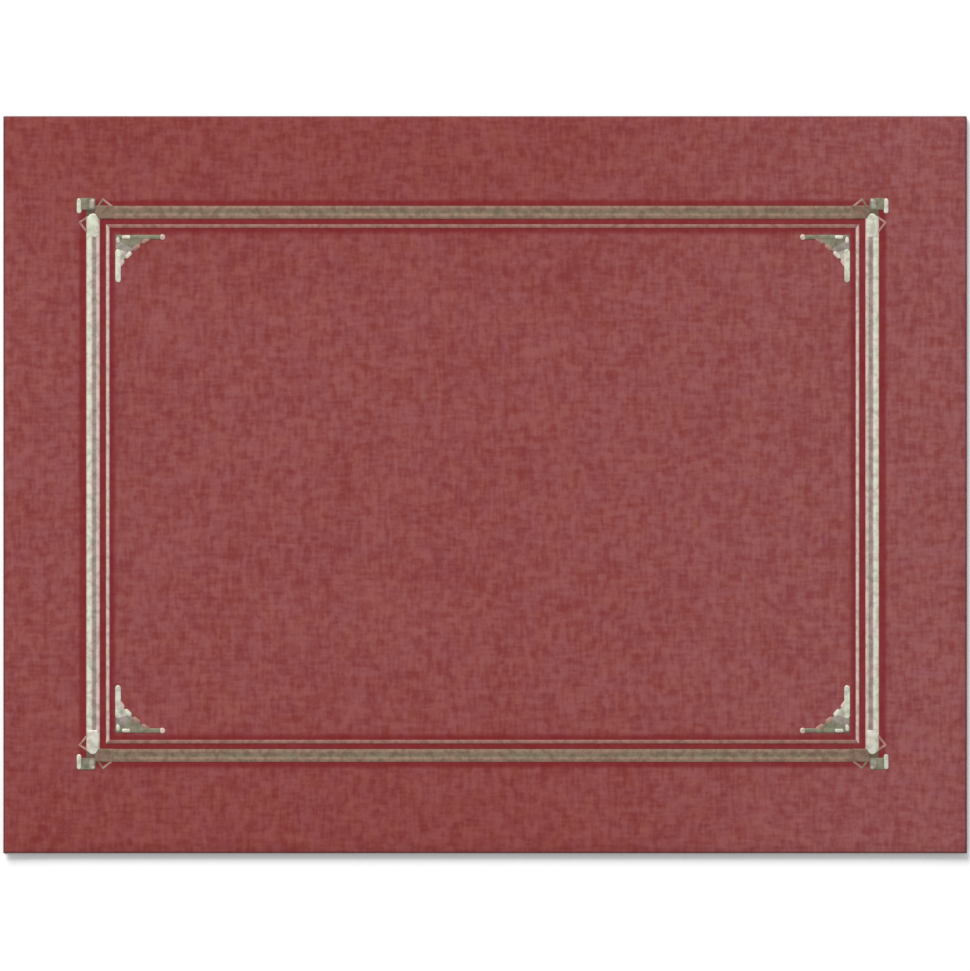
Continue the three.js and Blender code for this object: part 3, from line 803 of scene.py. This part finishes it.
def band_corner(relief, corner, s):
    """The knob, its bead, facet and cap bar, the sleeves and the peaked lines on one corner of the band."""
    at = corner.at
    knob_top = s.film + s.knob_rise

    def box(left, right, low, high, radius):
        return [at(p.x, p.y) for p in rounded_rectangle(left, right, low, high, radius)]

    # Painted light: the recess, knob and end sleeve are shaded tones; the facet, bead, cap and side sleeve
    # lit ones; the peaked lines lit but for the end line's first leg, which is shaded
    edge = s.base_inset
    base = box(edge, s.band_side - edge, edge, s.band_end - edge, s.sleeve_rounding)
    relief.plate(base, s.film, s.rounding / 2, "shade")
    cap_middle = -s.knob_reach_side + s.cap_width / 2
    knob = box(cap_middle, s.knob_inset, -s.knob_reach_end, s.knob_drop, s.knob_rounding)
    relief.plate(knob, knob_top, 2 * s.rounding, "fern")
    margin = s.knob_rounding / 2
    facet_right = s.knob_inset - margin
    facet = box(facet_right - s.facet_width, facet_right, margin - s.knob_reach_end, s.knob_drop - margin,
                s.knob_rounding)
    relief.plate(facet, knob_top + s.bead_rise / 2, 3 * s.rounding, "sage")
    bead_edge = 1.25 * s.knob_bead
    bead_at = at(s.knob_inset - bead_edge, bead_edge - s.knob_reach_end)
    relief.bead(bead_at, s.knob_bead, s.film, knob_top + s.bead_rise, "blush")
    cap_end = (s.cap_length - s.cap_width) / 2
    relief.dome(at(cap_middle, -cap_end), at(cap_middle, cap_end), s.cap_width, s.film / 2,
                s.film + s.cap_rise, "mint")

    over = s.end_sleeve_overhang
    sleeve = box(s.knob_inset - over, s.knob_inset + s.end_sleeve_length, -over, s.band_end + over,
                 s.sleeve_rounding)
    relief.plate(sleeve, s.film + s.end_sleeve_rise, 3 * s.rounding, "umber")
    middle = s.band_side / 2
    radius = middle - s.side_sleeve_inset
    foot = s.side_sleeve_start + s.side_sleeve_length - s.sleeve_rounding
    side = radius - s.sleeve_rounding
    arch = [
        *arc((middle, s.side_sleeve_start + radius), radius, -2 * QUARTER, 0, ARCH_STEPS),
        *arc((middle + side, foot), s.sleeve_rounding, 0, QUARTER),
        *arc((middle - side, foot), s.sleeve_rounding, QUARTER, 2 * QUARTER),
    ]
    arch_top = s.film + s.side_sleeve_rise
    relief.plate([at(p.x, p.y) for p in arch], arch_top, 3 * s.rounding, "mint", SIDE_STEPS)

    half = s.peak_line / 2
    line = [
        (s.peak_start, half),
        (s.peak_start + s.peak_run, half - s.peak_height),
        (s.peak_start + s.peak_run + s.peak_fall, half),
    ]
    turned = [(v, u) for u, v in line]
    for route, tones in ((line, ("umber", "clay")), (turned, ("clay", "clay"))):
        for first, last, tone in zip(route, route[1:], tones):
            relief.dome(at(*first), at(*last), s.peak_line, s.film / 2, s.film + s.bead_rise, tone)


def outer_frame(s):
    """The band, with its decorated corners."""
    relief = Relief("foil_band", "foil_outer_frame")
    reach = Vector((s.rule_gap_side + s.band_side, s.rule_gap_end + s.band_end))
    corners = corners_of(RULE_LOW.xy - reach, RULE_HIGH.xy + reach)
    top_left, top_right, bottom_left, bottom_right = corners
    # Painted light: the end bars are in shaded tones, the side bars in lit ones, and the grooves are shaded
    end_points, end_ridge = band_section(s.band_end, s.outer_ridge_end, s.inner_ridge_end, s)
    end = (end_points, band_tones(end_ridge, len(end_points), "olive", "moss", "olive"))
    side_points, side_ridge = band_section(s.band_side, s.outer_ridge_side, s.inner_ridge_side, s)
    side = (side_points, band_tones(side_ridge, len(side_points), "cream", "dusk", "blush"))
    end_start = s.knob_inset + s.end_sleeve_length - s.sleeve_rounding
    side_start = s.side_sleeve_start + 2 * s.sleeve_rounding
    bars = (
        (top_left.at(end_start, 0), top_right.at(end_start, 0), Vector((0, -1)), end),
        (bottom_left.at(end_start, 0), bottom_right.at(end_start, 0), Vector((0, 1)), end),
        (top_left.at(0, side_start), bottom_left.at(0, side_start), Vector((1, 0)), side),
        (top_right.at(0, side_start), bottom_right.at(0, side_start), Vector((-1, 0)), side),
    )
    for start, finish, inwards, (points, tones) in bars:
        rings = bar_rings(start, finish, inwards, points, s)
        relief.shell(rings, lambda row, i: tones[i])
    for corner in corners:
        band_corner(relief, corner, s)
    return relief


def inner_rule(s):
    """The single rule: a rounded bar along each side of its rectangle, mitred at the corners."""
    relief = Relief("foil_rule", "foil_inner_rule")
    points = [(0, 0), *ridge_points(0, s.rule_width, s.film, s.rule_rise), (s.rule_width, 0)]
    corners = corners_of(RULE_LOW.xy, RULE_HIGH.xy)
    order = [corners[i] for i in (0, 1, 3, 2)]
    rings = []
    tones = []
    for here, after in zip(order, order[1:] + order[:1]):
        side = Vector((after.x - here.x, after.y - here.y))
        count = round(side.length / s.station)
        for i in range(count):
            def mitred(across):
                return here.at(across, across).lerp(after.at(across, across), i / count)

            rings.append(section_ring(mitred, points, s.ripple))
        # Painted light: the rule's ends are in a shaded tone and its sides in a lit one
        tones += ["rust" if abs(side.x) > abs(side.y) else "blush"] * count
    relief.shell(rings, lambda row, i: tones[row], closed=True)
    return relief


def bracket(corner, s):
    """The web, the two arms, the lobes on the web's bent edge and the pills of one bracket."""
    relief = Relief(f"foil_corner_{corner.name}", f"foil_bracket_{corner.name}")
    at = corner.at
    half_across = s.arm_width_across / 2
    half_down = s.arm_width_down / 2
    half_pill = s.pill_width / 2
    arm_top = s.film + s.arm_rise

    bend = (
        Vector((s.web_reach_across, half_across)),
        Vector((s.web_dip, s.web_dip)),
        Vector((half_down, s.web_reach_down)),
    )

    def on_bend(t):
        return bend[0] * (1 - t) ** 2 + bend[1] * 2 * t * (1 - t) + bend[2] * t * t

    edge = [on_bend(i / BEND_STEPS) for i in range(BEND_STEPS + 1)]
    middle = BEND_STEPS // 2
    web = [(s.web_inset, s.web_inset), *edge, (s.web_inset, s.notch_end + s.web_inset)]
    # Painted light: the web's film, its upper half and the arm along the end are shaded tones; its lower
    # half, the arm down the side, the lobes, the bead and the pills are lit ones
    relief.plate([at(*p) for p in web], s.film, s.rounding / 2, "dusk")
    upper = [(half_down, half_across), *edge[:middle], (s.arm_width_down, s.notch_end / 2)]
    relief.plate([at(*p) for p in upper], s.film + s.upper_web_rise, s.rounding, "fern")
    lower = [(half_down, s.notch_end), *edge[middle + 1:]]
    relief.plate([at(*p) for p in lower], s.film + s.lower_web_rise, s.rounding, "mist")

    tip = at(s.arm_across - s.arm_tip, half_across)
    relief.dome(at(half_across, half_across), tip, s.arm_width_across, s.film / 2, arm_top, "fern")
    arm_end = s.arm_down - half_down
    arm = [
        *arc((half_down, s.notch_end + half_down), half_down, -2 * QUARTER, 0),
        *arc((half_down, arm_end), half_down, 0, 2 * QUARTER),
    ]
    relief.plate([at(p.x, p.y) for p in arm], arm_top, 3 * s.rounding, "mint", SIDE_STEPS)
    for i in range(s.lobe_count):
        share = (i + 0.5) / s.lobe_count
        centre = on_bend(share)
        along = (on_bend(share + 0.01) - on_bend(share - 0.01)).normalized()
        half = along * (s.lobe_length - s.lobe_width) / 2
        tone = "clay" if share < 0.5 else "cream" if share < 0.75 else "blush"
        relief.dome(at(*(centre - half)), at(*(centre + half)), s.lobe_width, s.film / 2,
                    s.film + s.lobe_rise, tone)
    pill_top = arm_top + s.bead_rise
    relief.bead(tip, s.arm_tip, s.film, pill_top, "blush")
    first = s.upright_pill_start + half_pill
    last = s.upright_pill_start + s.upright_pill_length - half_pill
    relief.dome(at(half_down, first), at(half_down, last), s.pill_width, s.film, pill_top, "cream")
    first = s.level_pill_start + half_pill
    last = s.level_pill_start + s.level_pill_length - half_pill
    relief.dome(at(first, half_across), at(last, half_across), s.pill_width, s.film, pill_top, "cream")
    return relief


def bracket_corners(s):
    """The corners that the brackets start from. A bracket's arm tip stands out past its arm's edge."""
    corners = []
    for corner in corners_of(RULE_LOW.xy, RULE_HIGH.xy):
        low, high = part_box(f"foil_bracket_{corner.name}")
        x = low.x if corner.right > 0 else high.x
        y = (high.y if corner.up > 0 else low.y) - corner.up * s.arm_down
        corners.append(Corner(corner.name, x, y, corner.right, corner.up))
    return corners


# Stage


def floor_material(colour):
    """Pale floor that is white to the camera where no shadow falls."""
    graph = new_graph("floor_white")
    made = graph.node("ShaderNodeBsdfDiffuse")
    graph.feed(made.inputs["Color"], graph.mix(graph.seen(), rgba(colour), SEEN_FLOOR))
    return graph.finish(made)


def make_world(strength):
    """Even white light from all round, at full white where the camera sees it."""
    graph = Graph(bpy.data.worlds.new("soft_studio"), "ShaderNodeOutputWorld")
    made = graph.node("ShaderNodeBackground")
    made.inputs["Color"].default_value = WHITE
    graph.feed(made.inputs["Strength"], graph.spread(graph.seen(), 0.0, 1.0, strength, 1.0))
    bpy.context.scene.world = graph.finish(made)


def add_lamp(name, place, size, power):
    """A square soft lamp at place, facing the middle of the cover."""
    lamp = bpy.data.lights.new(name, "AREA")
    lamp.shape = "SQUARE"
    lamp.size = size
    lamp.energy = power
    holder = bpy.data.objects.new(name, lamp)
    bpy.context.collection.objects.link(holder)
    holder.location = place
    holder.rotation_euler = (-place).to_track_quat("-Z", "Y").to_euler()


def add_camera(lens):
    """A camera straight above, framed so that the cover lies where the photograph has it."""
    width = CARD_HIGH.x - CARD_LOW.x
    metres_per_px = width / COVER_WIDTH_PX
    data = bpy.data.cameras.new("camera_above")
    data.lens = lens
    long_side = max(PHOTO_WIDTH_PX, PHOTO_HEIGHT_PX) * metres_per_px
    distance = long_side * lens / data.sensor_width
    holder = bpy.data.objects.new("camera_above", data)
    bpy.context.collection.objects.link(holder)
    middle = (CARD_LOW + CARD_HIGH) / 2
    across = (PHOTO_WIDTH_PX / 2 - COVER_CENTRE_PX[0]) * metres_per_px
    up = (COVER_CENTRE_PX[1] - PHOTO_HEIGHT_PX / 2) * metres_per_px
    holder.location = (middle.x + across, middle.y + up, FRONT_TOP + distance)
    data.clip_start = distance / 100
    data.clip_end = distance * 100
    bpy.context.scene.camera = holder


class DOCUMENTCOVER_OT_stage(bpy.types.Operator):
    """Makes the floor, the soft lamp, the world and the camera."""

    bl_idname = "document_cover.stage"
    bl_label = "Make Stage"

    def execute(self, context):
        settings = context.scene.cover_stage
        mesh = bpy.data.meshes.new("floor")
        shape = bmesh.new()
        bmesh.ops.create_grid(shape, x_segments=1, y_segments=1, size=FLOOR_REACH)
        shape.to_mesh(mesh)
        shape.free()
        mesh.materials.append(floor_material(settings.floor_colour))
        floor = bpy.data.objects.new("floor", mesh)
        context.collection.objects.link(floor)
        floor.location.z = CARD_LOW.z
        make_world(settings.world_strength)
        flat = math.cos(settings.key_height)
        aim = Vector((flat * math.cos(settings.key_azimuth), flat * math.sin(settings.key_azimuth),
                      math.sin(settings.key_height)))
        add_lamp("key_above_left", aim * settings.key_distance, settings.key_size, settings.key_power)
        add_camera(settings.lens)
        context.scene.view_settings.view_transform = "Standard"
        return {"FINISHED"}


class DOCUMENTCOVER_OT_card(bpy.types.Operator):
    """Makes the folded card, with the slits in its back leaf."""

    bl_idname = "document_cover.card"
    bl_label = "Make Card"

    def execute(self, context):
        piece = folded_sheet(context.scene.cover_card)
        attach(piece, "root")
        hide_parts("folded_card")
        return {"FINISHED"}


class DOCUMENTCOVER_OT_foil(bpy.types.Operator):
    """Makes the foil border: the band, the rule and the four brackets."""

    bl_idname = "document_cover.foil"
    bl_label = "Make Foil"

    def execute(self, context):
        settings = context.scene.cover_foil
        materials = {tone: foil_material(tone, gloss, settings) for tone, gloss in FOIL_GLOSS.items()}
        outer_frame(settings).finish(materials)
        inner_rule(settings).finish(materials)
        for corner in bracket_corners(settings):
            bracket(corner, settings).finish(materials)
        return {"FINISHED"}


class DOCUMENTCOVER_PT_panel(bpy.types.Panel):
    """The operators and settings of the document cover."""

    bl_label = "Document Cover"
    bl_idname = "DOCUMENTCOVER_PT_panel"
    bl_space_type = "VIEW_3D"
    bl_region_type = "UI"
    bl_category = "Document Cover"

    def draw(self, context):
        layout = self.layout
        for operator in OPERATORS:
            layout.operator(operator.bl_idname)
        for name, kind in SETTINGS.items():
            column = layout.column()
            for setting in kind.__annotations__:
                column.prop(getattr(context.scene, name), setting)


SETTINGS = {
    "cover_card": CoverCardSettings,
    "cover_foil": CoverFoilSettings,
    "cover_stage": CoverStageSettings,
}
OPERATORS = (DOCUMENTCOVER_OT_card, DOCUMENTCOVER_OT_foil, DOCUMENTCOVER_OT_stage)


def register():
    for kind in (*SETTINGS.values(), *OPERATORS, DOCUMENTCOVER_PT_panel):
        bpy.utils.register_class(kind)
    for name, kind in SETTINGS.items():
        setattr(bpy.types.Scene, name, bpy.props.PointerProperty(type=kind))


def unregister():
    for name in SETTINGS:
        delattr(bpy.types.Scene, name)
    for kind in (DOCUMENTCOVER_PT_panel, *reversed(OPERATORS), *reversed(SETTINGS.values())):
        bpy.utils.unregister_class(kind)


def main():
    register()
    bpy.ops.document_cover.card()
    bpy.ops.document_cover.foil()
    bpy.ops.document_cover.stage()


if __name__ == "__main__":
    main()
